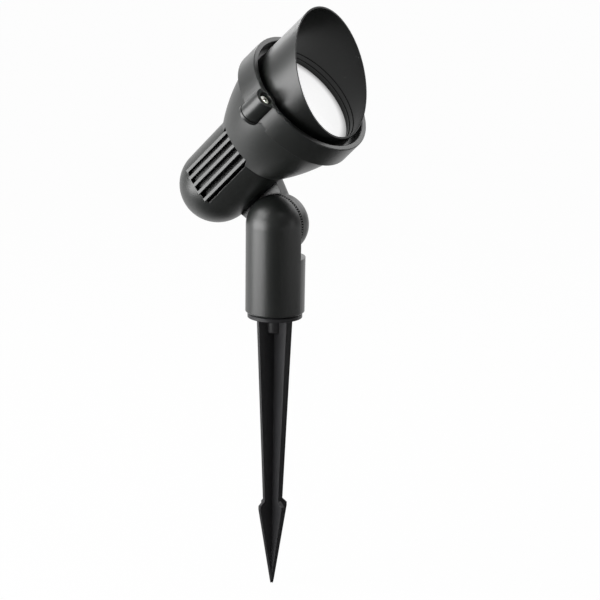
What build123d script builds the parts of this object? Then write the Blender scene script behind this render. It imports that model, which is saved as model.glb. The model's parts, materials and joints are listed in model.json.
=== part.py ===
"""Garden spike spotlight: a tilting lamp head on a short stem that screws on to a ground spike.

Millimetres, +Z up. The origin is on the spike's axis, at the underside of the flange that rests on the soil.
The head tilts about the Y axis through the knuckle, and aims up and towards +X.
"""

import os
from math import cos, pi, radians, sin, sqrt, tan

from build123d import *

os.makedirs("parts", exist_ok=True)

# General clearances
slip_gap = 0.2  # around a piece that is dropped into its seat
touch_gap = 0.05  # between a thread or shank and its hole

# Stem
stem_radius = 19.0
stem_wall = 3.0
stem_length = 57.3  # bottom rim up to the knuckle's axis
stem_edge = 0.8
cheek_radius = 19.3
ledge_drop = 21.2  # knuckle's axis down to the ledge under the arm
ledge_floor = 3.5

# Flange and spike
flange_radius = 17.6
flange_thickness = 2.6
flange_gap = 0.6  # dark line between flange and stem
hub_radius = 6.25
hub_length = 10.0
rib_thickness = 2.2
rib_turn = -20.0  # degrees about Z from the X axis
rib_reach_top = 13.7
rib_reach_neck = 7.1
neck_depth = 121.5
barb_overhang = 3.6  # how far the barbs stand out from the neck
barb_steepness = 0.9  # rise for reach of the barb's upper edge
barb_land = 2.3
point_length = 47.5
point_blunt = 1.0
point_tip = 3.0
hub_edge = 0.6
flange_edge = 0.5

# Stud that joins spike and stem
stud_radius = 5.0
stud_grip = 8.0  # how far it is moulded into the hub
stud_edge = 0.8
stud_spare = 3.0  # thread that shows above the nut
base_plug_thickness = 6.0
stud_nut_across = 16.0
stud_nut_height = 5.0
stud_washer_radius = 9.5
stud_washer_thickness = 1.5

# Knuckle
tooth_count = 70
tooth_outer = 19.2
tooth_depth = 1.5
tooth_share = 0.5  # of the pitch that is tooth
tooth_ring_inner = 12.5
cheek_rim_height = 0.4
arm_rim_height = 1.7
rim_gap = 0.2
arm_thickness = 14.9
arm_radius = 19.3
arm_rounding = 11.5
neck_half_width = 15.2
neck_half_height = 11.2  # where it leaves the arm's disc
neck_lean = 16.5  # degrees
neck_thickness = 13.0
neck_rounding = 7.5
neck_sink = 10.0  # neck's end inside the barrel
bolt_radius = 3.0
bolt_head_radius = 5.0
bolt_head_height = 6.0
bolt_length = 22.0
bolt_socket_across = 5.0
bolt_edge = 0.5
bolt_sink = 0.5  # head below the arm's face
bolt_washer_radius = 6.5
bolt_washer_thickness = 1.2
insert_radius = 4.6
insert_length = 10.0
insert_sink = 1.0  # below the cheek's face
insert_bore_spare = 3.0  # bore beyond the insert
seal_inner = 10.4
seal_outer = 12.2
lead_hole_radius = 2.4
lead_hole_offset = 7.6
lead_hole_wall = 2.0
lead_groove_depth = 4.2
lead_channel_reach = 8.0  # channel's offset behind the knuckle's axis

# Head: distances along its axis count from the foot of the knuckle's perpendicular
head_angle = 44.7  # degrees above the horizontal
axis_offset = 45.8  # knuckle's axis to the head's axis
back_centre = -17.0
back_radius = 24.7
barrel_front = 24.0
barrel_radius = 25.7
bowl_start_radius = 27.2
bowl_mid = 37.4
bowl_mid_radius = 33.6
bowl_front = 65.2
bowl_front_radius = 42.8
flange_back = 63.5
bowl_rim_step = 1.5  # rim over the bowl behind it
ear_back = 61.2
ear_margin = 0.4
bowl_wall = 2.6
barrel_wall = 5.5
back_wall = 5.2

# Cooling ribs on each side of the barrel, with parallel slots between them
fin_angle = 9.5  # degrees above the head's mid-plane
rib_count = 5
rib_pitch = 5.65
rib_width = 2.2
rib_back = -17.5
slot_back = -16.5
slot_run = 5.0  # how far slots and ribs run into the bowl's shoulder
slot_floor_radius = 22.0
last_slot_width = 1.7  # below the lowest rib

# Bezel ring
bezel_gap = 0.5  # ring's bore over the bowl's rim
bezel_wall = 1.7
rim_thickness = 3.7  # ring's wall in front of its shoulder
bezel_back = 63.3
bezel_front = 79.9
bezel_edge = 0.5
lug_drop = 0.4  # lug's face behind the ring's front
shoulder_gap = 0.4  # ring's shoulder round the hood
shoulder_thickness = 2.0
lug_angle = 7.5  # degrees above the head's mid-plane
lug_reach = 0.6  # lug's centre outside the ring's face
lug_radius = 7.2
screw_recess_radius = 4.6
screw_recess_depth = 3.6
screw_radius = 1.75
screw_head_radius = 3.1
screw_head_height = 2.2
screw_slot_width = 0.9
lug_blend_angle = 17.4  # degrees, where the lug's flat shoulder meets the ring
lug_blend_radius = 0.8
notch_angle = -7.0
notch_width = 6.0
notch_depth = 1.9

# Lens stack
gasket_thickness = 1.2
lens_thickness = 3.0
lens_margin = 0.8  # lens inside the bowl's rim

# Hood
hood_inset = 4.9  # hood's face inside the bowl's rim
hood_wall = 1.0
hood_flange_thickness = 1.5
hood_cut = 101.4  # where the slanted rim crosses the axis
hood_slant = 27.1  # degrees
bead_back = 72.6
bead_front = 73.4
bead_height = 0.8
collar_front = 76.8
collar_height = 0.4

# Lamp, a 50 mm reflector lamp with a two-pin base
lamp_front = 62.5
lamp_radius = 25.0
lamp_length = 46.5
lamp_rim = 5.0
lamp_base_radius = 9.6
lamp_base_length = 13.0
lamp_glass_thickness = 1.6
lamp_wall = 1.5
pin_radius = 1.6
pin_head_radius = 2.4
pin_spacing = 10.0
pin_length = 7.5
lampholder_radius = 13.5
lampholder_length = 16.0
lampholder_gap = 0.3
lampholder_edge = 1.0
plate_thickness = 1.2
plate_screw_offset = 16.6
plate_screw_radius = 1.5
plate_boss_radius = 3.0
plate_screw_length = 9.0
plate_head_radius = 2.8
plate_head_height = 1.8
plate_hole_radius = 4.5
holder_screw_offset = 9.0
holder_screw_length = 5.0
holder_screw_spare = 1.0  # hole beyond the screw's end

# Wiring
lead_radius = 1.4
lead_bend = 2.3
head_lead_bend = 4.0
grommet_hole_radius = 5.0
grommet_bore = 3.1
grommet_lip = 6.6
grommet_height = 15.5
grommet_inside = 1.5  # how far it stands into the stem
grommet_outside = 2.5
grommet_lip_thickness = 2.3
grommet_edge = 0.8
terminal_lift = 0.8  # above the stud's end
terminal_width = 16.0
terminal_depth = 9.0
terminal_height = 10.5
terminal_hole_radius = 1.4
terminal_screw_radius = 1.3

# ---- worked-out places ----
stem_bottom = flange_thickness + flange_gap
knuckle_height = stem_bottom + stem_length
knuckle = Vector(0, 0, knuckle_height)
aim = Vector(cos(radians(head_angle)), 0, sin(radians(head_angle)))
head_up = Vector(-aim.Z, 0, aim.X)
head_foot = knuckle + head_up * axis_offset
head_axis = Axis(head_foot, aim)
# Local x runs along the head's axis and local y away from it, upwards
head_section = Plane(origin=head_foot, x_dir=aim, z_dir=(0, -1, 0))
knuckle_axis = Axis(knuckle, (0, 1, 0))
ledge_height = knuckle_height - ledge_drop
cavity_radius = stem_radius - stem_wall
cavity_top = ledge_height - ledge_floor

arm_inner = cheek_rim_height + rim_gap + arm_rim_height
bowl_back_edge_radius = bowl_front_radius - bowl_rim_step
bezel_inner = bowl_front_radius + bezel_gap
bezel_radius = bezel_inner + bezel_wall
rim_inner = bezel_radius - rim_thickness
lug_centre = bezel_radius + lug_reach
lens_radius = bowl_front_radius - lens_margin
hood_radius = bowl_front_radius - hood_inset
shoulder_inner = hood_radius + shoulder_gap

barrel_cavity = barrel_radius - barrel_wall
slot_front = barrel_front + slot_run
bowl_spread = (bowl_mid_radius - bowl_start_radius) / (bowl_mid - barrel_front)
cavity_back_radius = back_radius - back_wall
cavity_end = back_centre - back_radius / 2
bowl_cavity_front = bowl_front_radius - 2 * bowl_wall
arm_outer = arm_inner + arm_thickness
bolt_seat = arm_outer - bolt_head_height - bolt_washer_thickness

lead_rise_offset = cavity_radius - lead_hole_radius - lead_hole_wall
lead_cross_height = knuckle_height - lead_hole_offset

lens_back = bowl_front + gasket_thickness
lens_front = lens_back + lens_thickness
shoulder_back = lens_front + hood_flange_thickness
shoulder_front = shoulder_back + shoulder_thickness
screw_seat = bezel_front - screw_recess_depth
lamp_back = lamp_front - lamp_length
pin_back = lamp_back - pin_length
lampholder_front = lamp_back - lampholder_gap
lampholder_back = lampholder_front - lampholder_length
plate_back = lampholder_back - plate_thickness


def cross_head(distance):
    """Plane square to the head's axis, local x up and away from the knuckle."""
    return Plane(origin=head_foot + aim * distance, x_dir=head_up, z_dir=aim)


def side_of_knuckle(distance):
    """Plane square to the knuckle's axis, at a distance towards +Y, facing +Y."""
    return Plane(origin=knuckle + Vector(0, distance, 0), x_dir=(-1, 0, 0), z_dir=(0, 1, 0))


def level(height):
    return Plane.XY.offset(height)


def finish(builder, label):
    builder.part.label = label
    export_step(builder.part, f"parts/{label}.step")


def lug_places():
    """Centres of the two screw lugs in a plane across the head."""
    rise = lug_centre * sin(radians(lug_angle))
    reach = lug_centre * cos(radians(lug_angle))
    return [(rise, -reach), (rise, reach)]


# ---- spike ----
def rib_outline():
    """Half of one pair of ribs: straight taper, barb and point, out from the axis."""
    barb_reach = rib_reach_neck + barb_overhang
    barb_top = neck_depth + barb_steepness * barb_overhang
    barb_bottom = barb_top + barb_land
    point_shoulder = barb_bottom + point_length
    return [
        (0, 0),
        (rib_reach_top, 0),
        (rib_reach_neck, -neck_depth),
        (barb_reach, -barb_top),
        (barb_reach, -barb_bottom),
        (point_blunt, -point_shoulder),
        (0, -point_shoulder - point_tip),
    ]


with BuildPart() as spike:
    with BuildSketch(level(0)):
        Circle(flange_radius)
    extrude(amount=flange_thickness)
    chamfer(spike.edges().group_by(Axis.Z)[-1], flange_edge)
    with BuildSketch(level(-hub_length)):
        Circle(hub_radius)
    extrude(amount=hub_length)
    chamfer(spike.edges().group_by(Axis.Z)[0], hub_edge)
    for quarter in range(4):
        turn = radians(rib_turn + 90 * quarter)
        rib_plane = Plane(
            origin=(0, 0, 0), x_dir=(cos(turn), sin(turn), 0), z_dir=(sin(turn), -cos(turn), 0)
        )
        with BuildSketch(rib_plane):
            with BuildLine():
                Polyline(*rib_outline(), close=True)
            make_face()
        extrude(amount=rib_thickness / 2, both=True)
    with BuildSketch(level(flange_thickness)):
        Circle(stud_radius)
    extrude(amount=-flange_thickness - stud_grip, mode=Mode.SUBTRACT)
finish(spike, "spike")

stud_top = stem_bottom + base_plug_thickness + stud_washer_thickness + stud_nut_height + stud_spare
with BuildPart() as spike_stud:
    with BuildSketch(level(-stud_grip)):
        Circle(stud_radius)
    extrude(amount=stud_grip + stud_top)
    chamfer(spike_stud.edges().group_by(Axis.Z)[-1], stud_edge)
finish(spike_stud, "spike_stud")

# ---- stem ----
with BuildPart() as stem:
    with BuildSketch(Plane.XZ):
        with BuildLine():
            dome_start = (cheek_radius, knuckle_height)
            Line((0, stem_bottom), (stem_radius - stem_edge, stem_bottom))
            Line((stem_radius - stem_edge, stem_bottom), (stem_radius, stem_bottom + stem_edge))
            Line((stem_radius, stem_bottom + stem_edge), dome_start)
            RadiusArc(dome_start, (0, knuckle_height + cheek_radius), -cheek_radius)
            Line((0, knuckle_height + cheek_radius), (0, stem_bottom))
        make_face()
    revolve(axis=Axis.Z)
    # The +Y half above the ledge makes room for the arm
    with Locations((0, cheek_radius, ledge_height + 1.5 * cheek_radius)):
        Box(3 * cheek_radius, 2 * cheek_radius, 3 * cheek_radius, mode=Mode.SUBTRACT)
    with BuildSketch(level(stem_bottom)):
        Circle(cavity_radius)
    extrude(amount=cavity_top - stem_bottom, mode=Mode.SUBTRACT)
    # Toothed face of the fixed cheek
    with BuildSketch(side_of_knuckle(0)):
        Circle(tooth_outer - tooth_depth)
        Circle(tooth_ring_inner, mode=Mode.SUBTRACT)
    extrude(amount=cheek_rim_height)
    # Blind bore for the threaded insert, and the way for the lead
    with BuildSketch(side_of_knuckle(0)):
        Circle(insert_radius)
    extrude(amount=-insert_sink - insert_length - insert_bore_spare, mode=Mode.SUBTRACT)
    with BuildSketch(level(cavity_top - 1)):
        with Locations((0, -lead_rise_offset)):
            Circle(lead_hole_radius)
    extrude(amount=lead_cross_height - cavity_top + 1 + lead_hole_radius, mode=Mode.SUBTRACT)
    with BuildSketch(side_of_knuckle(cheek_rim_height)):
        with Locations((0, -lead_hole_offset)):
            Circle(lead_hole_radius)
    extrude(amount=-lead_rise_offset - cheek_rim_height, mode=Mode.SUBTRACT)
    # Cable hole low in the back
    with BuildSketch(Plane(origin=(0, 0, grommet_height), x_dir=(-1, 0, 0), z_dir=(0, 1, 0))):
        Circle(grommet_hole_radius)
    extrude(amount=stem_radius + 2, mode=Mode.SUBTRACT)
finish(stem, "stem")

with BuildPart() as base_plug:
    with BuildSketch(level(stem_bottom)):
        Circle(cavity_radius)
        Circle(stud_radius + touch_gap, mode=Mode.SUBTRACT)
    extrude(amount=base_plug_thickness)
finish(base_plug, "base_plug")

washer_bottom = stem_bottom + base_plug_thickness
with BuildPart() as stud_washer:
    with BuildSketch(level(washer_bottom)):
        Circle(stud_washer_radius)
        Circle(stud_radius + touch_gap, mode=Mode.SUBTRACT)
    extrude(amount=stud_washer_thickness)
finish(stud_washer, "stud_washer")

with BuildPart() as stud_nut:
    with BuildSketch(level(washer_bottom + stud_washer_thickness)):
        RegularPolygon(stud_nut_across / 2, 6, major_radius=False)
        Circle(stud_radius + touch_gap, mode=Mode.SUBTRACT)
    extrude(amount=stud_nut_height)
finish(stud_nut, "stud_nut")

grommet_plane = Plane(
    origin=(0, cavity_radius - grommet_inside, grommet_height), x_dir=(-1, 0, 0), z_dir=(0, 1, 0)
)
grommet_length = grommet_inside + stem_wall + grommet_outside
with BuildPart() as cable_grommet:
    with BuildSketch(grommet_plane):
        Circle(grommet_hole_radius)
    extrude(amount=grommet_length)
    with BuildSketch(grommet_plane.offset(grommet_length - grommet_lip_thickness)):
        Circle(grommet_lip)
    extrude(amount=grommet_lip_thickness)
    fillet(cable_grommet.edges().group_by(Axis.Y)[-1], grommet_edge)
    with BuildSketch(grommet_plane):
        Circle(grommet_bore)
    extrude(amount=grommet_length, mode=Mode.SUBTRACT)
finish(cable_grommet, "cable_grommet")

terminal_bottom = stud_top + terminal_lift
terminal_middle = -sqrt((cavity_radius - slip_gap) ** 2 - (terminal_width / 2) ** 2) + terminal_depth / 2
terminal_places = [(side * terminal_width / 4, terminal_middle) for side in (-1, 1)]
with BuildPart() as terminal_block:
    with BuildSketch(level(terminal_bottom)):
        with Locations((0, terminal_middle)):
            Rectangle(terminal_width, terminal_depth)
        with Locations(*terminal_places):
            Circle(terminal_hole_radius, mode=Mode.SUBTRACT)
    extrude(amount=terminal_height)
    with BuildSketch(Plane(origin=(0, terminal_middle, 0), x_dir=(1, 0, 0), z_dir=(0, -1, 0))):
        with Locations(*[(x, terminal_bottom + terminal_height / 2) for x, y in terminal_places]):
            Circle(terminal_screw_radius)
    extrude(amount=-terminal_depth, mode=Mode.SUBTRACT)
finish(terminal_block, "terminal_block")

with BuildPart() as terminal_screws:
    screw_face = terminal_middle + terminal_depth / 2
    with BuildSketch(Plane(origin=(0, screw_face, 0), x_dir=(1, 0, 0), z_dir=(0, -1, 0))):
        with Locations(*[(x, terminal_bottom + terminal_height / 2) for x, y in terminal_places]):
            Circle(terminal_screw_radius - touch_gap)
    extrude(amount=terminal_depth / 2 - terminal_hole_radius)
finish(terminal_screws, "terminal_screws")

lead_top = terminal_bottom + terminal_height
with BuildPart() as stem_lead:
    with BuildLine():
        FilletPolyline(
            (0, -lead_rise_offset, lead_top),
            (0, -lead_rise_offset, lead_cross_height),
            (0, arm_inner / 2, lead_cross_height),
            radius=lead_bend,
        )
    with BuildSketch(level(lead_top)):
        with Locations((0, -lead_rise_offset)):
            Circle(lead_radius)
    sweep()
finish(stem_lead, "stem_lead")

# ---- knuckle hardware ----
with BuildPart() as knuckle_insert:
    with BuildSketch(side_of_knuckle(-insert_length - insert_sink)):
        Circle(insert_radius)
        Circle(bolt_radius + touch_gap, mode=Mode.SUBTRACT)
    extrude(amount=insert_length)
finish(knuckle_insert, "knuckle_insert")

with BuildPart() as knuckle_seal:
    with BuildSketch(side_of_knuckle(0)):
        Circle(seal_outer)
        Circle(seal_inner, mode=Mode.SUBTRACT)
    extrude(amount=arm_inner - rim_gap)
finish(knuckle_seal, "knuckle_seal")

with BuildPart() as bolt_washer:
    with BuildSketch(side_of_knuckle(bolt_seat)):
        Circle(bolt_washer_radius)
        Circle(bolt_radius + touch_gap, mode=Mode.SUBTRACT)
    extrude(amount=bolt_washer_thickness)
finish(bolt_washer, "bolt_washer")

with BuildPart() as clamp_bolt:
    with BuildSketch(side_of_knuckle(bolt_seat + bolt_washer_thickness)):
        Circle(bolt_head_radius)
    extrude(amount=bolt_head_height - bolt_sink)
    chamfer(clamp_bolt.edges().group_by(Axis.Y)[-1], bolt_edge)
    with BuildSketch(side_of_knuckle(bolt_seat + bolt_washer_thickness)):
        Circle(bolt_radius)
    extrude(amount=-bolt_length)
    with BuildSketch(side_of_knuckle(arm_outer - bolt_sink)):
        RegularPolygon(bolt_socket_across / 2, 6, major_radius=False)
    extrude(amount=-bolt_head_height / 2, mode=Mode.SUBTRACT)
finish(clamp_bolt, "clamp_bolt")


# ---- head ----
def tooth_points():
    """Outline of the arm's toothed rim, a flat and a gap for each tooth."""
    points = []
    root = tooth_outer - tooth_depth
    for tooth in range(tooth_count):
        for share, reach in ((0, tooth_outer), (tooth_share, tooth_outer), (tooth_share, root), (1, root)):
            turn = 2 * pi * (tooth + share) / tooth_count
            points.append((reach * cos(turn), reach * sin(turn)))
    return points


def neck_offset(height):
    """Half-width of the arm's neck at a height above the knuckle's axis, towards the barrel."""
    return neck_half_width + (height - neck_half_height) * tan(radians(neck_lean))


def fin_directions(side):
    """Way the ribs stand out on one side of the head, and the way from rib to rib, upwards."""
    turn = radians(fin_angle)
    outward = head_up * sin(turn) + Vector(0, side * cos(turn), 0)
    return outward, head_up * cos(turn) - Vector(0, side * sin(turn), 0)


def fin_plane(outward, offset):
    """Local x runs along the head's axis and local y outwards."""
    return Plane(origin=head_foot + offset, x_dir=aim, z_dir=aim.cross(outward))


def slot_places():
    """Height and width of each slot, from the lowest up."""
    slot_width = rib_pitch - rib_width
    places = [((step - (rib_count - 2) / 2) * rib_pitch, slot_width) for step in range(rib_count - 1)]
    lowest = -(rib_count - 1) / 2 * rib_pitch - rib_width / 2 - last_slot_width / 2
    return [(lowest, last_slot_width)] + places


def slot_outline(height, back=slot_back):
    """Side of a cut from the slots' round floor outwards, past the bowl's shoulder."""
    floor = sqrt(slot_floor_radius**2 - height**2)
    return [(back, floor), (slot_front, floor), (slot_front, bowl_mid_radius), (back, bowl_mid_radius)]


def rib_side(height):
    """Side of a rib whose flat top meets the barrel's face at the edge nearer the pattern's middle."""
    edge = max(abs(height) - rib_width / 2, 0)
    front = sqrt(barrel_radius**2 - edge**2)
    back = sqrt(back_radius**2 - edge**2)
    root = back - rib_width
    return [(rib_back, root), (slot_front, root), (slot_front, front), (barrel_front, front), (rib_back, back)]


channel_foot = knuckle + Vector(0, arm_inner + lead_groove_depth, 0) - aim * lead_channel_reach
neck_bottom = neck_half_height / 2
neck_top = axis_offset - neck_sink
arm_plane = Plane(origin=knuckle + Vector(0, arm_inner, 0), x_dir=aim * -1, z_dir=(0, 1, 0))
with BuildPart() as neck:
    with BuildSketch(arm_plane):
        with BuildLine():
            Polyline(
                (-neck_offset(neck_bottom), neck_bottom),
                (neck_offset(neck_bottom), neck_bottom),
                (neck_offset(neck_top), neck_top),
                (-neck_offset(neck_top), neck_top),
                close=True,
            )
        make_face()
    extrude(amount=neck_thickness)
    fillet(neck.faces().sort_by(Axis.Y)[-1].edges(), neck_rounding)

with BuildPart() as arm_disc:
    with BuildSketch(Plane(origin=knuckle, x_dir=(1, 0, 0), z_dir=(0, 0, 1))):
        with BuildLine():
            Line((0, arm_inner), (arm_radius, arm_inner))
            Line((arm_radius, arm_inner), (arm_radius, arm_outer - arm_rounding))
            RadiusArc(
                (arm_radius, arm_outer - arm_rounding),
                (arm_radius - arm_rounding, arm_outer),
                -arm_rounding,
            )
            Line((arm_radius - arm_rounding, arm_outer), (0, arm_outer))
            Line((0, arm_outer), (0, arm_inner))
        make_face()
    revolve(axis=knuckle_axis)

with BuildPart() as housing:
    with BuildSketch(head_section):
        with BuildLine():
            Line((back_centre - back_radius, 0), (bowl_front, 0))
            Line((bowl_front, 0), (bowl_front, bowl_front_radius))
            Line((bowl_front, bowl_front_radius), (flange_back, bowl_front_radius))
            Line((flange_back, bowl_front_radius), (flange_back, bowl_back_edge_radius))
            ThreePointArc(
                (flange_back, bowl_back_edge_radius),
                (bowl_mid, bowl_mid_radius),
                (barrel_front, bowl_start_radius),
            )
            Line((barrel_front, bowl_start_radius), (barrel_front, barrel_radius))
            Line((barrel_front, barrel_radius), (back_centre, back_radius))
            ThreePointArc(
                (back_centre, back_radius),
                (back_centre - back_radius * sin(pi / 4), back_radius * cos(pi / 4)),
                (back_centre - back_radius, 0),
            )
        make_face()
    revolve(axis=head_axis)
    add(neck.part)
    add(arm_disc.part)
    # Ears under the bezel's lugs
    with BuildSketch(cross_head(ear_back)):
        with Locations(*lug_places()):
            Circle(lug_radius + ear_margin)
    extrude(amount=bezel_back - slip_gap - ear_back)
    # Cavity for the lamp and its holder
    with BuildSketch(head_section):
        with BuildLine():
            cavity_step = slot_front + bowl_wall
            bowl_cavity_back = (
                cavity_step,
                bowl_start_radius - bowl_wall + (cavity_step - barrel_front) * bowl_spread,
            )
            bowl_cavity_bend = (flange_back, bowl_cavity_front)
            Polyline((cavity_end, 0), (bowl_front, 0), (bowl_front, bowl_cavity_front), bowl_cavity_bend)
            ThreePointArc(bowl_cavity_bend, (bowl_mid, bowl_mid_radius - bowl_wall), bowl_cavity_back)
            Polyline(
                bowl_cavity_back,
                (cavity_step, barrel_cavity),
                (plate_back, barrel_cavity),
                (plate_back, cavity_back_radius),
                (back_centre, cavity_back_radius),
                (cavity_end, cavity_back_radius / 2),
                (cavity_end, 0),
            )
        make_face()
    revolve(axis=head_axis, mode=Mode.SUBTRACT)
    # Bosses for the holder plate's screws
    with BuildSketch(cross_head(plate_back)):
        with Locations((0, plate_screw_offset), (0, -plate_screw_offset)):
            Circle(plate_boss_radius)
    extrude(amount=cavity_end - plate_back)
    with BuildSketch(cross_head(plate_back)):
        with Locations((0, plate_screw_offset), (0, -plate_screw_offset)):
            Circle(plate_screw_radius + touch_gap)
    extrude(amount=-plate_screw_length, mode=Mode.SUBTRACT)
    # Cooling slots in both sides of the barrel, and the flat-topped ribs between them.
    # In the bowl's shoulder the ribs stand in the room that is cut for them.
    for side in (-1, 1):
        outward, across = fin_directions(side)
        for height, width in slot_places():
            with BuildSketch(fin_plane(outward, across * (height - width / 2))):
                with BuildLine():
                    Polyline(*slot_outline(height), close=True)
                make_face()
            extrude(amount=side * width, mode=Mode.SUBTRACT)
        for step in range(rib_count):
            height = (step - (rib_count - 1) / 2) * rib_pitch
            for outline, mode in (
                (slot_outline(height, barrel_front), Mode.SUBTRACT),
                (rib_side(height), Mode.ADD),
            ):
                with BuildSketch(fin_plane(outward, across * height)):
                    with BuildLine():
                        Polyline(*outline, close=True)
                    make_face()
                extrude(amount=rib_width / 2, both=True, mode=mode)
    # Threads for the bezel's screws
    with BuildSketch(cross_head(ear_back)):
        with Locations(*lug_places()):
            Circle(screw_radius + touch_gap)
    extrude(amount=bezel_back - ear_back, mode=Mode.SUBTRACT)
    # Toothed rim facing the stem's cheek
    with BuildSketch(side_of_knuckle(arm_inner)):
        Polygon(*tooth_points(), align=None)
        Circle(tooth_ring_inner, mode=Mode.SUBTRACT)
    extrude(amount=-arm_rim_height)
    # Clamp bolt's hole and recess
    with BuildSketch(side_of_knuckle(arm_inner)):
        Circle(bolt_radius + slip_gap)
    extrude(amount=arm_thickness, mode=Mode.SUBTRACT)
    with BuildSketch(side_of_knuckle(bolt_seat)):
        Circle(bolt_washer_radius + 2 * slip_gap)
    extrude(amount=arm_thickness, mode=Mode.SUBTRACT)
    # Ring groove and channel that lead the wire past the bolt into the barrel
    with BuildSketch(side_of_knuckle(arm_inner)):
        Circle(lead_hole_offset + lead_hole_radius)
        Circle(lead_hole_offset - lead_hole_radius, mode=Mode.SUBTRACT)
    extrude(amount=lead_groove_depth, mode=Mode.SUBTRACT)
    with BuildSketch(Plane(origin=channel_foot, x_dir=aim, z_dir=head_up)):
        Circle(lead_hole_radius)
    extrude(amount=axis_offset - barrel_cavity / 2, mode=Mode.SUBTRACT)
finish(housing, "housing")

with BuildPart() as bezel:
    with BuildSketch(head_section):
        with BuildLine():
            Polyline(
                (bezel_back, bezel_inner),
                (shoulder_back, bezel_inner),
                (shoulder_back, shoulder_inner),
                (shoulder_front, shoulder_inner),
                (shoulder_front, rim_inner),
                (bezel_front, rim_inner),
                (bezel_front, bezel_radius),
                (bezel_back, bezel_radius),
                close=True,
            )
        make_face()
    revolve(axis=head_axis)
    chamfer(bezel.edges().group_by(head_axis)[-1], bezel_edge)
    # Screw lugs, each with a flat shoulder that meets the ring
    for side, (rise, reach) in zip((-1, 1), lug_places()):
        blend = radians(lug_blend_angle)
        with BuildSketch(cross_head(bezel_back)):
            with Locations((rise, reach)):
                Circle(lug_radius)
            with Locations((bezel_inner * sin(blend), side * bezel_inner * cos(blend))):
                Circle(lug_blend_radius)
            make_hull()
            Circle(bezel_inner, mode=Mode.SUBTRACT)
        extrude(amount=shoulder_front - bezel_back)
        with BuildSketch(cross_head(shoulder_front)):
            with Locations((rise, reach)):
                Circle(lug_radius)
            with Locations((bezel_inner * sin(blend), side * bezel_inner * cos(blend))):
                Circle(lug_blend_radius)
            make_hull()
        extrude(amount=bezel_front - lug_drop - shoulder_front)
    with BuildSketch(cross_head(screw_seat)):
        with Locations(*lug_places()):
            Circle(screw_recess_radius)
    extrude(amount=bezel_front, mode=Mode.SUBTRACT)
    with BuildSketch(cross_head(bezel_back)):
        with Locations(*lug_places()):
            Circle(screw_radius + slip_gap)
    extrude(amount=screw_seat - bezel_back, mode=Mode.SUBTRACT)
    # Pry notches in the back edge of the skirt
    for side in (-1, 1):
        turn = radians(notch_angle)
        outward = head_up * sin(turn) + Vector(0, side * cos(turn), 0)
        notch_place = head_foot + aim * bezel_back + outward * bezel_radius
        with Locations(Plane(origin=notch_place, x_dir=aim, z_dir=outward)):
            Box(2 * notch_depth, notch_width, 4 * bezel_wall, mode=Mode.SUBTRACT)
finish(bezel, "bezel")

with BuildPart() as bezel_screws:
    with BuildSketch(cross_head(screw_seat)):
        with Locations(*lug_places()):
            Circle(screw_head_radius)
    extrude(amount=screw_head_height)
    fillet(bezel_screws.edges().group_by(head_axis)[-1], screw_head_height / 3)
    with BuildSketch(cross_head(screw_seat)):
        with Locations(*lug_places()):
            Circle(screw_radius)
    extrude(amount=ear_back + slip_gap - screw_seat)
    for cross_turn in (0, 90):
        with BuildSketch(cross_head(screw_seat + screw_head_height / 2)):
            with Locations(*lug_places()):
                Rectangle(screw_head_radius * 1.2, screw_slot_width, rotation=cross_turn)
        extrude(amount=screw_head_height, mode=Mode.SUBTRACT)
finish(bezel_screws, "bezel_screws")

with BuildPart() as lens_gasket:
    with BuildSketch(cross_head(bowl_front)):
        Circle(lens_radius)
        Circle(bowl_cavity_front, mode=Mode.SUBTRACT)
    extrude(amount=gasket_thickness)
finish(lens_gasket, "lens_gasket")

with BuildPart() as lens:
    with BuildSketch(cross_head(lens_back)):
        Circle(lens_radius)
    extrude(amount=lens_thickness)
finish(lens, "lens")

hood_bore = hood_radius - hood_wall
hood_reach = hood_cut + hood_radius * tan(radians(hood_slant)) + hood_wall
with BuildPart() as hood:
    with BuildSketch(head_section):
        with BuildLine():
            Polyline(
                (lens_front, hood_bore),
                (bead_back, hood_bore),
                (bead_back, hood_bore - bead_height),
                (bead_front, hood_bore - bead_height),
                (bead_front, hood_bore - collar_height),
                (collar_front, hood_bore - collar_height),
                (collar_front, hood_bore),
                (hood_reach, hood_bore),
                (hood_reach, hood_radius),
                (shoulder_back, hood_radius),
                (shoulder_back, lens_radius),
                (lens_front, lens_radius),
                close=True,
            )
        make_face()
    revolve(axis=head_axis)
    # The rim is cut on a slant, longest at the top
    slant = radians(hood_slant)
    cut_normal = aim * cos(slant) - head_up * sin(slant)
    split(bisect_by=Plane(origin=head_foot + aim * hood_cut, z_dir=cut_normal), keep=Keep.BOTTOM)
finish(hood, "hood")

# ---- lamp and holder ----
lamp_glass_back = lamp_front - lamp_glass_thickness
with BuildPart() as lamp_body:
    with BuildSketch(head_section):
        with BuildLine():
            Line((lamp_back, 0), (lamp_back, lamp_base_radius))
            Line((lamp_back, lamp_base_radius), (lamp_back + lamp_base_length, lamp_base_radius))
            ThreePointArc(
                (lamp_back + lamp_base_length, lamp_base_radius),
                (lamp_back + 0.6 * lamp_length, 0.78 * lamp_radius),
                (lamp_front - lamp_rim, lamp_radius),
            )
            Line((lamp_front - lamp_rim, lamp_radius), (lamp_front, lamp_radius))
            Line((lamp_front, lamp_radius), (lamp_front, lamp_radius - lamp_wall))
            Line((lamp_front, lamp_radius - lamp_wall), (lamp_glass_back, lamp_radius - lamp_wall))
            Line((lamp_glass_back, lamp_radius - lamp_wall), (lamp_glass_back, 0))
            Line((lamp_glass_back, 0), (lamp_back, 0))
        make_face()
    revolve(axis=head_axis)
finish(lamp_body, "lamp_body")

with BuildPart() as lamp_glass:
    with BuildSketch(cross_head(lamp_glass_back)):
        Circle(lamp_radius - lamp_wall)
    extrude(amount=lamp_glass_thickness)
finish(lamp_glass, "lamp_glass")

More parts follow.
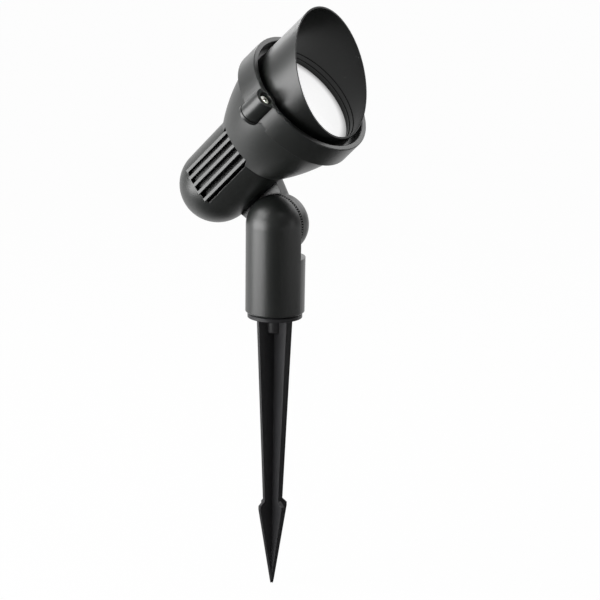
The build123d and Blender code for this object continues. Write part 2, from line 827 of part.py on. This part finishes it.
pin_places = [(0, side * pin_spacing / 2) for side in (-1, 1)]
with BuildPart() as lamp_pins:
    with BuildSketch(cross_head(lamp_back)):
        with Locations(*pin_places):
            Circle(pin_radius)
    extrude(amount=-pin_length)
    with BuildSketch(cross_head(pin_back)):
        with Locations(*pin_places):
            Circle(pin_head_radius)
    extrude(amount=pin_head_radius)
finish(lamp_pins, "lamp_pins")

with BuildPart() as lampholder:
    with BuildSketch(cross_head(lampholder_back)):
        Circle(lampholder_radius)
    extrude(amount=lampholder_length)
    chamfer(lampholder.edges().group_by(head_axis)[-1], lampholder_edge)
    with BuildSketch(cross_head(pin_back - slip_gap)):
        with Locations(*pin_places):
            Circle(pin_head_radius + slip_gap)
    extrude(amount=lampholder_length, mode=Mode.SUBTRACT)
    # Blind holes for the two screws of the holder plate
    with BuildSketch(cross_head(lampholder_back)):
        with Locations((holder_screw_offset, 0), (-holder_screw_offset, 0)):
            Circle(plate_screw_radius + touch_gap)
    extrude(amount=holder_screw_length, mode=Mode.SUBTRACT)
finish(lampholder, "lampholder")

with BuildPart() as holder_plate:
    with BuildSketch(cross_head(plate_back)):
        Circle(barrel_cavity - slip_gap)
        Circle(plate_hole_radius, mode=Mode.SUBTRACT)
        with Locations((0, plate_screw_offset), (0, -plate_screw_offset)):
            Circle(plate_screw_radius + touch_gap, mode=Mode.SUBTRACT)
        with Locations((holder_screw_offset, 0), (-holder_screw_offset, 0)):
            Circle(plate_screw_radius + touch_gap, mode=Mode.SUBTRACT)
    extrude(amount=plate_thickness)
finish(holder_plate, "holder_plate")

with BuildPart() as plate_screws:
    with BuildSketch(cross_head(lampholder_back)):
        with Locations((0, plate_screw_offset), (0, -plate_screw_offset)):
            Circle(plate_head_radius)
    extrude(amount=plate_head_height)
    with BuildSketch(cross_head(lampholder_back)):
        with Locations((0, plate_screw_offset), (0, -plate_screw_offset)):
            Circle(plate_screw_radius)
    extrude(amount=-plate_screw_length)
finish(plate_screws, "plate_screws")

with BuildPart() as holder_screws:
    with BuildSketch(cross_head(plate_back)):
        with Locations((holder_screw_offset, 0), (-holder_screw_offset, 0)):
            Circle(plate_head_radius)
    extrude(amount=-plate_head_height)
    with BuildSketch(cross_head(plate_back)):
        with Locations((holder_screw_offset, 0), (-holder_screw_offset, 0)):
            Circle(plate_screw_radius)
    extrude(amount=plate_thickness + holder_screw_length - holder_screw_spare)
finish(holder_screws, "holder_screws")

# Wire from the lampholder, through the channel in the arm, to the ring groove
turn_point = head_foot - aim * lead_channel_reach
with BuildPart() as head_lead:
    with BuildLine():
        FilletPolyline(
            channel_foot + head_up * lead_hole_radius,
            channel_foot + head_up * (axis_offset - 2 * head_lead_bend),
            turn_point,
            head_foot + aim * lampholder_back,
            radius=head_lead_bend,
        )
    with BuildSketch(Plane(origin=channel_foot + head_up * lead_hole_radius, z_dir=head_up)):
        Circle(lead_radius)
    sweep()
finish(head_lead, "head_lead")
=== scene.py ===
import json
import math

import bmesh
import bpy
from mathutils import Matrix, Vector


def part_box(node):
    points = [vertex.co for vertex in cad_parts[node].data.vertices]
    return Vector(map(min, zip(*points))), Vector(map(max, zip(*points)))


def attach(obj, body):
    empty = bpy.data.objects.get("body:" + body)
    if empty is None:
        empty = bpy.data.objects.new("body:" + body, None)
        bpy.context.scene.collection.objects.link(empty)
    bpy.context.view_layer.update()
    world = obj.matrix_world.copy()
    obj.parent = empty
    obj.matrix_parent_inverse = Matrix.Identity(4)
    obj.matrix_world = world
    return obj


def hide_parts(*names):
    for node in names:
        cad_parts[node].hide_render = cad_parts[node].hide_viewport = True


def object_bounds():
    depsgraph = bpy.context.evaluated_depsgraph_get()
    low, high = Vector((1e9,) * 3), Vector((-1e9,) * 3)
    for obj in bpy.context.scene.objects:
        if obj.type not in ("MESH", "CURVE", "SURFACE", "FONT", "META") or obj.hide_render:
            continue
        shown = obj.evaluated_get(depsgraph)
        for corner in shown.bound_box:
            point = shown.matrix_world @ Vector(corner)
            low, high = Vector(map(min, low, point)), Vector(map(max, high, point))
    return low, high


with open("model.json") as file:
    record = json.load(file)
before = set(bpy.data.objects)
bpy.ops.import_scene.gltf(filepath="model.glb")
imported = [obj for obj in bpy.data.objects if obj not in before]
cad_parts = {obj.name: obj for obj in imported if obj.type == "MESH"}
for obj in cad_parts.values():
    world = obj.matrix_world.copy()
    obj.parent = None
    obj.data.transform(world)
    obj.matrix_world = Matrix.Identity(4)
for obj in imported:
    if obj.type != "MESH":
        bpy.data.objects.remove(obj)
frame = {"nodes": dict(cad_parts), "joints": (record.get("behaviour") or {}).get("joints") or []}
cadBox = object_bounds()
nodes = frame["nodes"]
tiltJoint = frame["joints"][0]
print("frame loaded,", len(nodes), "nodes")


class Signal:  # a shader socket that Python's own operators work on
    def __init__(self, finish, socket):
        self.finish = finish
        self.socket = socket

    def math(self, operation, *values):
        sockets = dict(enumerate(values))
        return self.finish.node("ShaderNodeMath", {"operation": operation}, sockets)

    def __add__(self, other):
        return self.math("ADD", self, other)

    def __radd__(self, other):
        return self.math("ADD", other, self)

    def __sub__(self, other):
        return self.math("SUBTRACT", self, other)

    def __rsub__(self, other):
        return self.math("SUBTRACT", other, self)

    def __mul__(self, other):
        return self.math("MULTIPLY", self, other)

    def __rmul__(self, other):
        return self.math("MULTIPLY", other, self)


# where the masks start and end: rounded edges by how far the normal turns, hollows by openness
maskRange = {"edge": (0.01, 0.16), "open": (0.4, 0.85)}


class Finish:  # one material or world and its nodes
    def __init__(self, owner):
        self.owner = owner
        owner.use_nodes = True
        self.tree = owner.node_tree
        self.tree.nodes.clear()

    def node(self, kind, settings=None, sockets=None, output=0):
        made = self.tree.nodes.new(kind)
        for name, value in (settings or {}).items():
            if name == "stops":
                self.fillRamp(made.color_ramp, value)
            else:
                setattr(made, name, value)
        for name, value in (sockets or {}).items():
            if isinstance(value, Signal):
                self.tree.links.new(value.socket, made.inputs[name])
            else:
                made.inputs[name].default_value = value
        if not made.outputs:
            return made
        return Signal(self, made.outputs[output])

    def fillRamp(self, ramp, stops):
        while len(ramp.elements) < len(stops):
            ramp.elements.new(1.0)
        for element, (place, shade) in zip(ramp.elements, stops):
            element.position = place
            element.color = (shade, shade, shade, 1)

    def mixColours(self, factor, first, second):
        settings = {"data_type": "RGBA", "blend_type": "MIX", "clamp_factor": True}
        return self.node("ShaderNodeMix", settings, {0: factor, 6: first, 7: second}, output=2)

    def vector(self, operation, *values, output=0):
        sockets = dict(enumerate(values))
        return self.node("ShaderNodeVectorMath", {"operation": operation}, sockets, output)

    def mask(self, signal, start, end, low=0):
        return self.node("ShaderNodeValToRGB", {"stops": ((start, low), (end, 1))}, {"Fac": signal})

    def smoothStep(self, value, start, end, high=1.0):
        sockets = {"Value": value, "From Min": start, "From Max": end, "To Max": high}
        return self.node("ShaderNodeMapRange", {"interpolation_type": "SMOOTHSTEP"}, sockets)

    def place(self):  # metres in the object's own frame, so grain stays put at every pose
        return self.node("ShaderNodeTexCoord", output=3)

    def noise(self, size, detail=2.0, roughness=0.5, place=None):
        sockets = {
            "Vector": place or self.place(),
            "Scale": 1 / size,
            "Detail": detail,
            "Roughness": roughness,
        }
        return self.node("ShaderNodeTexNoise", None, sockets)

    def stretched(self, stretch):
        return self.vector("MULTIPLY", self.place(), stretch)

    def softEdges(self, radius):
        return self.node("ShaderNodeBevel", {"samples": 6}, {"Radius": radius})

    def edgeMask(self, rounded):  # 0 on a face, 1 where the rounded edge turns most
        normal = self.node("ShaderNodeNewGeometry", output=1)
        turn = 1 - self.vector("DOT_PRODUCT", rounded, normal, output=1)
        return self.mask(turn, *maskRange["edge"])

    def openness(self, reach):  # 1 on open faces, 0 in slots and hollows narrower than reach: the mask for painted shade
        settings = {"samples": 6, "only_local": True}
        share = self.node("ShaderNodeAmbientOcclusion", settings, {"Distance": reach}, output=1)
        return self.mask(share, *maskRange["open"])

    def bump(self, height, depth, normal=None):
        sockets = {"Height": height, "Strength": 1.0, "Distance": depth}
        if normal:
            sockets["Normal"] = normal
        return self.node("ShaderNodeBump", None, sockets)

    def surface(self, **sockets):
        named = {name.replace("_", " "): value for name, value in sockets.items()}
        shader = self.node("ShaderNodeBsdfPrincipled", None, named)
        self.node("ShaderNodeOutputMaterial", None, {"Surface": shader})
        return self.owner


def newFinish(name):
    return Finish(bpy.data.materials.new(name))


def colour(shade, tint=(1, 1, 1)):
    return (*[shade * part for part in tint], 1)


def dress(material, *names):
    for name in names:
        slots = nodes[name].data.materials
        slots.clear()
        slots.append(material)


def directionTo(azimuth, elevation):  # degrees, azimuth turning from the front to the right
    turn, rise = math.radians(azimuth), math.radians(elevation)
    return Vector((math.sin(turn) * math.cos(rise), -math.cos(turn) * math.cos(rise), math.sin(rise)))


def lensMiddle():
    low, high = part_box("lens")
    return (low + high) / 2


headAxis = directionTo(90, 44.7)  # the way the head aims in the frame


def satinOutside(finish, look):  # a clear coat on the outside of the hood only
    fromLens = finish.vector("SUBTRACT", finish.place(), tuple(lensMiddle()))
    away = finish.vector("LENGTH", finish.vector("CROSS_PRODUCT", fromLens, tuple(headAxis)), output=1)
    start, end = look["insideRadius"], look["insideRadius"] + look["coatFade"]
    outside = finish.node("ShaderNodeMapRange", None, {"Value": away, "From Min": start, "From Max": end})
    return {
        "Coat_Weight": outside * look["coat"],
        "Coat_Roughness": look["coatRoughness"],
        "Coat_IOR": look["coatIndex"],
    }


def powderCoat(name, look):
    finish = newFinish(name)
    openness = finish.openness(look["hollowReach"])
    peel = finish.noise(look["peelSize"])
    grain = finish.noise(look["grainSize"], 3.0, 0.65)
    cloud = finish.noise(look["cloudSize"], 3.0)
    rounded = finish.softEdges(look["edgeRadius"])
    patches = finish.mask(finish.noise(look["wearSize"], 4.0, 0.7), *look["wearPatches"])
    worn = finish.edgeMask(rounded) * patches
    body = finish.mixColours(cloud, colour(look["dark"], look["tint"]), colour(look["pale"], look["tint"]))
    flecks = finish.mask(grain, *look["fleckRange"]) * look["fleck"]
    body = finish.mixColours(flecks, body, colour(look["fleckShade"]))
    paint = finish.mixColours(worn * look["wear"], body, colour(look["wornShade"]))
    # painted shade: slots and hollows get a near-black colour where light would reach less
    paint = finish.mixColours(openness, colour(look["hollowShade"]), paint)
    gloss = look["roughness"] + (cloud - 0.5) * look["roughnessSpread"] + (grain - 0.5) * look["grainGloss"]
    height = peel * look["peelShare"] + grain * (1 - look["peelShare"])
    return finish.surface(
        Base_Color=paint,
        Roughness=gloss,
        # painted shade: Metallic with the near-black colour takes the shine out of slots and hollows
        Metallic=1 - openness,
        Normal=finish.bump(height, look["bumpDepth"], rounded),
        Specular_IOR_Level=look["specular"],
        **(satinOutside(finish, look) if "insideRadius" in look else {}),
    )


castLook = {
    "dark": 0.010,
    "pale": 0.014,
    "tint": (0.92, 1.06, 0.97),
    "fleck": 0.35,
    "fleckRange": (0.68, 0.8),
    "fleckShade": 0.04,
    "peelSize": 0.0011,
    "grainSize": 0.00032,
    "cloudSize": 0.02,
    "peelShare": 0.6,
    "bumpDepth": 0.00004,
    "edgeRadius": 0.0005,
    "wearSize": 0.003,
    "wearPatches": (0.42, 0.62, 0.15),  # start, end and the least wear between them
    "wear": 0.35,
    "wornShade": 0.09,
    "roughness": 0.36,
    "roughnessSpread": 0.06,
    "grainGloss": 0.08,
    "specular": 0.8,
    "hollowReach": 0.0045,  # metres; slots and narrow gaps are painted near black and lose their shine, as painted shade
    "hollowShade": 0.003,
}
dress(powderCoat("castBlack", castLook), "housing", "stem")

ringLook = dict(castLook, roughness=0.35, peelSize=0.0009, bumpDepth=0.00003, hollowReach=0.0015)
dress(powderCoat("ringBlack", ringLook), "bezel")

# the hood is matte inside, against glare, and satin outside
hoodLook = dict(castLook, dark=0.007, pale=0.01, bumpDepth=0.000025, edgeRadius=0.0003, cloudSize=0.03)
hoodLook |= {
    "specular": 0.36,
    "coat": 0.7,
    "coatRoughness": 0.34,
    "coatIndex": 1.5,
    "insideRadius": 0.0374,  # metres from the head's axis
    "coatFade": 0.0004,
}
dress(powderCoat("hoodBlack", hoodLook), "hood")
print("cast pieces dressed")


def mouldedPlastic(name, look):
    finish = newFinish(name)
    grain = finish.noise(look["grainSize"], 3.0, 0.6)
    flow = finish.noise(look["flowSize"], 3.0, 0.5, finish.stretched(look["flowStretch"]))
    rounded = finish.softEdges(look["edgeRadius"])
    edge = finish.edgeMask(rounded)
    body = finish.mixColours(flow, colour(look["dark"], look["tint"]), colour(look["pale"], look["tint"]))
    body = finish.mixColours(edge * look["wear"], body, colour(look["wornShade"], look["tint"]))
    gloss = look["roughness"] + (flow - 0.5) * look["roughnessSpread"] + (grain - 0.5) * look["grainGloss"]
    height = grain * look["grainShare"] + flow * (1 - look["grainShare"])
    return finish.surface(
        Base_Color=body,
        Roughness=gloss,
        Normal=finish.bump(height, look["bumpDepth"], rounded),
        Specular_IOR_Level=look["specular"],
    )


spikeLook = {
    "dark": 0.018,
    "pale": 0.024,
    "tint": (1, 1, 1.08),
    "grainSize": 0.0004,
    "grainShare": 0.6,
    "grainGloss": 0.06,
    "flowSize": 0.004,
    "flowStretch": (1, 1, 0.12),
    "bumpDepth": 0.00004,
    "edgeRadius": 0.0003,
    "wear": 0.4,
    "wornShade": 0.06,
    "roughness": 0.42,
    "roughnessSpread": 0.12,
    "specular": 0.4,
}
dress(mouldedPlastic("spikePlastic", spikeLook), "spike", "base_plug")

whiteParts = {"dark": 0.62, "pale": 0.72, "tint": (1, 0.99, 0.95), "wornShade": 0.8}
terminalLook = spikeLook | whiteParts | {"roughness": 0.4}
dress(mouldedPlastic("terminalNylon", terminalLook), "terminal_block")

rubberParts = {"dark": 0.018, "pale": 0.03, "tint": (1, 1, 1), "wornShade": 0.05}
rubberLook = spikeLook | rubberParts | {"roughness": 0.78, "specular": 0.25}
dress(mouldedPlastic("sealRubber", rubberLook), "cable_grommet", "knuckle_seal", "lens_gasket")

sleeveParts = {"dark": 0.13, "pale": 0.17, "tint": (1.6, 0.75, 0.5), "wornShade": 0.2}
sleeveLook = rubberLook | sleeveParts | {"roughness": 0.55}
dress(mouldedPlastic("wireSleeve", sleeveLook), "stem_lead", "head_lead")

ceramicParts = {"dark": 0.66, "pale": 0.76, "tint": (1, 0.97, 0.91), "wornShade": 0.85}
ceramicLook = spikeLook | ceramicParts | {"roughness": 0.6, "bumpDepth": 0.00002}
dress(mouldedPlastic("holderCeramic", ceramicLook), "lampholder")
print("moulded pieces dressed")


def bareMetal(name, look):
    finish = newFinish(name)
    brush = finish.noise(look["brushSize"], 3.0, 0.6, finish.stretched(look["brushStretch"]))
    stain = finish.noise(look["stainSize"], 4.0, 0.6)
    rounded = finish.softEdges(look["edgeRadius"])
    body = finish.mixColours(stain, colour(look["dark"], look["tint"]), colour(look["pale"], look["tint"]))
    # painted shade: the cross recess and other hollows get a darker colour
    body = finish.mixColours(finish.openness(look["hollowReach"]), colour(look["hollowShade"]), body)
    gloss = look["roughness"] + (brush - 0.5) * look["roughnessSpread"] + (stain - 0.5) * look["stainGloss"]
    return finish.surface(
        Base_Color=body,
        Roughness=gloss,
        Metallic=1.0,
        Normal=finish.bump(brush, look["bumpDepth"], rounded),
    )


screwLook = {
    "dark": 0.8,
    "pale": 0.92,
    "tint": (1, 1, 0.99),
    "brushSize": 0.0002,
    "brushStretch": (1, 1, 0.2),
    "stainSize": 0.002,
    "stainGloss": 0.1,
    "bumpDepth": 0.000008,
    "edgeRadius": 0.0002,
    "roughness": 0.5,
    "roughnessSpread": 0.16,
    "hollowReach": 0.0012,
    "hollowShade": 0.03,
}
brightSteel = bareMetal("brightSteel", screwLook)
dress(brightSteel, "bezel_screws", "clamp_bolt", "bolt_washer")

zincLook = dict(screwLook, dark=0.42, pale=0.56, tint=(1, 1, 0.95), roughness=0.38, stainSize=0.004)
dress(
    bareMetal("zincSteel", zincLook),
    "spike_stud", "stud_washer", "stud_nut", "holder_plate", "plate_screws", "holder_screws",
)

brassLook = dict(screwLook, dark=0.55, pale=0.7, tint=(1, 0.76, 0.38), roughness=0.3)
dress(bareMetal("turnedBrass", brassLook), "knuckle_insert", "terminal_screws", "lamp_pins")

shellLook = dict(screwLook, dark=0.7, pale=0.8, tint=(1, 1, 1), roughness=0.3, stainSize=0.008)
dress(bareMetal("lampSilver", shellLook), "lamp_body")
print("bare metal dressed")

# pan-head screws with a cross recess, modelled finer than the frame's
screwShape = {
    "headRadius": 0.0031,
    "headHeight": 0.0022,
    "crown": 0.0006,  # fall from the head's middle to its side
    "edge": 0.0003,
    "shankRadius": 0.00175,
    "crossReach": 0.0023,
    "crossWidth": 0.001,
    "crossDepth": 0.0013,
    "crossTaper": 0.55,  # share of the mouth that is left at the bottom
    "crossTurn": 18,  # degrees
    "sides": 64,
    "crownSteps": 8,
}


def screwProfile(look, length):  # radius and height from the head's top down
    rim = look["headRadius"] - look["edge"]
    points = []
    for step in range(look["crownSteps"] + 1):
        share = step / look["crownSteps"]
        points.append((rim * share, -look["crown"] * share**2))
    points += [
        (look["headRadius"], -look["crown"] - look["edge"]),
        (look["headRadius"], -look["headHeight"]),
        (look["shankRadius"], -look["headHeight"]),
        (look["shankRadius"], -length),
        (0, -length),
    ]
    return points


def turned(bm, points, sides):  # closed solid of revolution about Z
    rings = []
    for radius, height in points:
        if radius == 0:
            rings.append([bm.verts.new((0, 0, height))])
            continue
        turns = [2 * math.pi * side / sides for side in range(sides)]
        rings.append([bm.verts.new((radius * math.cos(t), radius * math.sin(t), height)) for t in turns])
    for upper, lower in zip(rings, rings[1:]):
        for side in range(sides):
            corners = [upper[side % len(upper)], lower[side % len(lower)]]
            corners += [lower[(side + 1) % len(lower)], upper[(side + 1) % len(upper)]]
            bm.faces.new(list(dict.fromkeys(corners)))


def crossOutline(look, share):
    reach, half = look["crossReach"] * share, look["crossWidth"] * share / 2
    corners = []
    for quarter in range(4):
        turn = Matrix.Rotation(math.radians(90 * quarter + look["crossTurn"]), 2)
        corners += [turn @ Vector(corner) for corner in ((reach, -half), (reach, half), (half, half))]
    return corners


def crossCutter(bm, look):
    top = [bm.verts.new((*c, look["crown"])) for c in crossOutline(look, 1)]
    bottom = [bm.verts.new((*c, -look["crossDepth"])) for c in crossOutline(look, look["crossTaper"])]
    bm.faces.new(top)
    bm.faces.new(reversed(bottom))
    for k in range(len(top)):
        after = (k + 1) % len(top)
        bm.faces.new((top[k], bottom[k], bottom[after], top[after]))


def meshObject(name, draw):
    bm = bmesh.new()
    draw(bm)
    bmesh.ops.recalc_face_normals(bm, faces=bm.faces)
    mesh = bpy.data.meshes.new(name)
    bm.to_mesh(mesh)
    bm.free()
    made = bpy.data.objects.new(name, mesh)
    bpy.context.scene.collection.objects.link(made)
    return made


def crossScrew(name, look, points):  # points are the frame's corners of this one screw
    across = Vector((0, 1, 0))
    turn = Matrix((headAxis.cross(across), across, headAxis))  # screw's frame has its head along Z
    places = [turn @ point for point in points]
    low = Vector([min(place[k] for place in places) for k in range(3)])
    high = Vector([max(place[k] for place in places) for k in range(3)])
    top = turn.transposed() @ Vector(((low.x + high.x) / 2, (low.y + high.y) / 2, high.z))
    screw = meshObject(name, lambda bm: turned(bm, screwProfile(look, high.z - low.z), look["sides"]))
    cutter = meshObject("crossCutter", lambda bm: crossCutter(bm, look))
    cut = screw.modifiers.new("cross", "BOOLEAN")
    cut.operation = "DIFFERENCE"
    cut.object = cutter
    shown = screw.evaluated_get(bpy.context.evaluated_depsgraph_get())
    cleanMesh = bpy.data.meshes.new_from_object(shown)
    screw.modifiers.clear()
    screw.data = cleanMesh
    bpy.data.objects.remove(cutter)
    cleanMesh.transform(Matrix.Translation(top) @ turn.transposed().to_4x4())
    cleanMesh.name = name
    cleanMesh.materials.clear()
    cleanMesh.materials.append(brightSteel)
    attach(screw, "head")
    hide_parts("bezel_screws")
    return top


screwCorners = [corner.co for corner in nodes["bezel_screws"].data.vertices]
screwTops = []
for name, side in (("bezel_screw_near", -1), ("bezel_screw_far", 1)):
    corners = [corner for corner in screwCorners if corner.y * side > 0]
    screwTops.append(crossScrew(name, screwShape, corners))
print("screws made")

lensLook = {
    "shade": 0.86,
    # the lens's colour is darker towards its rim; its glow is painted light, with no lamp lit behind it
    "rimShade": 0.6,
    "paintedGlow": 0.8,
    "rimPaintedGlow": 0.35,  # share of the painted glow that is left at the rim
    "roughness": 0.42,
    "frostGloss": 0.2,
    "frostSize": 0.0005,
    "frostDepth": 0.00002,
    "softStart": 0.031,  # metres from the lens's middle
    "softEnd": 0.0375,
}


def frostedGlass(look):
    finish = newFinish("frostedGlass")
    away = finish.vector("DISTANCE", finish.place(), tuple(lensMiddle()), output=1)
    inner = 1 - finish.smoothStep(away, look["softStart"], look["softEnd"])
    frost = finish.noise(look["frostSize"], 3.0, 0.6)
    # painted light: the lens glows, less towards its rim, and its colour darkens towards the rim
    body = finish.mixColours(inner, colour(look["rimShade"]), colour(look["shade"]))
    paintedGlow = finish.mixColours(inner, colour(look["rimPaintedGlow"]), colour(1.0))
    return finish.surface(
        Base_Color=body,
        Roughness=look["roughness"] + (frost - 0.5) * look["frostGloss"],
        Normal=finish.bump(frost, look["frostDepth"]),
        Emission_Color=paintedGlow,
        Emission_Strength=look["paintedGlow"],
    )


dress(frostedGlass(lensLook), "lens")

lampGlassLook = {
    "tint": (0.93, 0.95, 0.95, 1),
    "roughness": 0.06,
    "dimpleSize": 0.003,
    "dimpleDepth": 0.0002,
    "dimpleGloss": 0.05,
    "seeThrough": 0.6,
    "index": 1.5,
}


def pressedGlass(look):
    finish = newFinish("lampGlass")
    dimples = finish.node(
        "ShaderNodeTexVoronoi",
        {"feature": "SMOOTH_F1"},
        {"Vector": finish.place(), "Scale": 1 / look["dimpleSize"]},
    )
    return finish.surface(
        Base_Color=look["tint"],
        Roughness=look["roughness"] + dimples * look["dimpleGloss"],
        Normal=finish.bump(dimples, look["dimpleDepth"]),
        Transmission_Weight=look["seeThrough"],
        IOR=look["index"],
    )


dress(pressedGlass(lampGlassLook), "lamp_glass")
print("glass dressed")

# the photo's view, set from the knuckle
cameraLook = {
    "azimuth": 32.3,
    "elevation": 13.3,
    "roll": 0.69,
    "distance": 4.0,
    "frameWidth": 0.3828,  # metres that the frame takes in at the knuckle
    "centreAt": (0.01535, -0.04828),  # frame's middle, right of and above the knuckle
}


def placeCamera(look):
    turn, roll = math.radians(look["azimuth"]), math.radians(look["roll"])
    back = directionTo(look["azimuth"], look["elevation"])
    right = Vector((math.cos(turn), math.sin(turn), 0))
    up = back.cross(right)
    frameRight = right * math.cos(roll) + up * math.sin(roll)
    frameUp = up * math.cos(roll) - right * math.sin(roll)
    knuckle = Vector(tiltJoint["pos_m"])
    eye = knuckle + back * look["distance"]
    centre = knuckle + frameRight * look["centreAt"][0] + frameUp * look["centreAt"][1]
    axis = (eye - centre).normalized()
    side = frameUp.cross(axis).normalized()
    rows = Matrix((side, axis.cross(side), axis)).transposed()
    data = bpy.data.cameras.new("camera")
    data.lens = data.sensor_width * look["distance"] / look["frameWidth"]
    camera = bpy.data.objects.new("camera", data)
    camera.matrix_world = Matrix.Translation(eye) @ rows.to_4x4()
    bpy.context.scene.collection.objects.link(camera)
    bpy.context.scene.camera = camera


placeCamera(cameraLook)

roomLook = {
    "floorShade": 0.85,
    "floorRadius": 2.5,
    "floorSides": 96,
    "floorDrop": 0.0002,  # metres below the spike's point
    "floorGlow": 0.98,  # share of plain white that the camera sees
    "underShade": 0.12,  # the floor's own shade in reflections
    # azimuth, metres out at start and end, share of white: reflections see a paler floor there
    "paleSides": ((-130, 0.02, 0.2, 1.0), (111, 0.6, 0.85, 0.8)),
    "fillShade": 0.04,
    "frontShade": 0.12,
    "backAzimuth": 212.3,
    "backTurn": (0.0, 0.75),  # where the room turns from frontShade to white
    "lampAim": (0, 0, 0.06),
}
# azimuth and elevation in degrees, distance and size in metres, power in watts
lampLook = {
    "lowLamp": {"azimuth": -36, "elevation": 0, "distance": 0.8, "size": (0.8, 0.5), "power": 7.5},
    "highLamp": {"azimuth": -42, "elevation": 36, "distance": 0.8, "size": (0.6, 0.36), "power": 2.8},
    "backLamp": {"azimuth": -130, "elevation": 35, "distance": 0.8, "size": (0.45, 0.45), "power": 2.8},
    "rimLamp": {"azimuth": 164, "elevation": 31, "distance": 0.8, "size": (0.6, 0.45), "power": 1.3},
    "topLamp": {"azimuth": 70, "elevation": 62, "distance": 0.9, "size": (0.45, 0.45), "power": 0.9},
    "rightLamp": {"azimuth": 98, "elevation": 8, "distance": 0.8, "size": (0.3, 0.3), "power": 0.25},
    "screwLamp": {"azimuth": 100, "elevation": 50, "distance": 0.4, "cone": 1.6, "power": 100},
}
# screwLamp is a narrow beam on the near screw, cone in degrees
screwBeam = {"blend": 0.5, "radius": 0.02}


def seenDirectly(finish):  # camera, glossy and transmission rays
    path = finish.node("ShaderNodeLightPath")
    outputs = path.socket.node.outputs
    camera, glossy, through = [
        Signal(finish, outputs[name]) for name in ("Is Camera Ray", "Is Glossy Ray", "Is Transmission Ray")
    ]
    return camera, camera.math("MAXIMUM", glossy, through)


def layFloor(look):
    mesh = bpy.data.meshes.new("floor")
    radius, sides = look["floorRadius"], look["floorSides"]
    bottom = cadBox[0].z - look["floorDrop"]
    turns = [2 * math.pi * side / sides for side in range(sides)]
    ring = [(radius * math.cos(turn), radius * math.sin(turn), bottom) for turn in turns]
    mesh.from_pydata(ring, [], [tuple(range(sides))])
    floor = bpy.data.objects.new("floor", mesh)
    bpy.context.scene.collection.objects.link(floor)
    finish = newFinish("paleFloor")
    camera, reflected = seenDirectly(finish)
    white = finish.node("ShaderNodeEmission", None, {"Color": colour(1.0), "Strength": 1.0})
    paler = 0
    for azimuth, start, end, level in look["paleSides"]:
        outwards = tuple(directionTo(azimuth, 0))
        distance = finish.vector("DOT_PRODUCT", finish.place(), outwards, output=1)
        paler = finish.smoothStep(distance, start, end, level) + paler
    share = camera.math("MAXIMUM", camera * look["floorGlow"], reflected * paler)
    under = reflected - camera
    shade = finish.mixColours(under, colour(look["floorShade"]), colour(look["underShade"]))
    matte = finish.node("ShaderNodeBsdfDiffuse", None, {"Color": shade})
    mixed = finish.node("ShaderNodeMixShader", None, {0: share, 1: matte, 2: white})
    finish.node("ShaderNodeOutputMaterial", None, {"Surface": mixed})
    mesh.materials.append(finish.owner)


def paintRoom(look):
    world = bpy.data.worlds.new("room")
    bpy.context.scene.world = world
    finish = Finish(world)
    camera, reflected = seenDirectly(finish)
    backwards = directionTo(look["backAzimuth"], 0)
    view = finish.node("ShaderNodeTexCoord")
    toward = finish.vector("DOT_PRODUCT", view, tuple(backwards), output=1)
    backdrop = finish.mask(toward, *look["backTurn"], look["frontShade"])
    shade = finish.mixColours(reflected, colour(look["fillShade"]), backdrop)
    shade = finish.mixColours(camera, shade, colour(1.0))
    background = finish.node("ShaderNodeBackground", None, {"Color": shade, "Strength": 1.0})
    finish.node("ShaderNodeOutputWorld", None, {"Surface": background})


def hangLamp(name, look):
    if "cone" in look:
        data = bpy.data.lights.new(name, "SPOT")
        data.spot_size = math.radians(look["cone"])
        data.spot_blend = screwBeam["blend"]
        data.shadow_soft_size = screwBeam["radius"]
        aim = screwTops[0]
    else:
        data = bpy.data.lights.new(name, "AREA")
        data.shape = "RECTANGLE"
        data.size, data.size_y = look["size"]
        aim = Vector(roomLook["lampAim"])
    data.energy = look["power"]
    back = directionTo(look["azimuth"], look["elevation"])
    lamp = bpy.data.objects.new(name, data)
    lamp.location = aim + back * look["distance"]
    lamp.rotation_euler = back.to_track_quat("Z", "Y").to_euler()
    bpy.context.scene.collection.objects.link(lamp)


layFloor(roomLook)
paintRoom(roomLook)
for lampName, look in lampLook.items():
    hangLamp(lampName, look)
bpy.context.scene.view_settings.view_transform = "Standard"
print("camera, room and lamps ready")
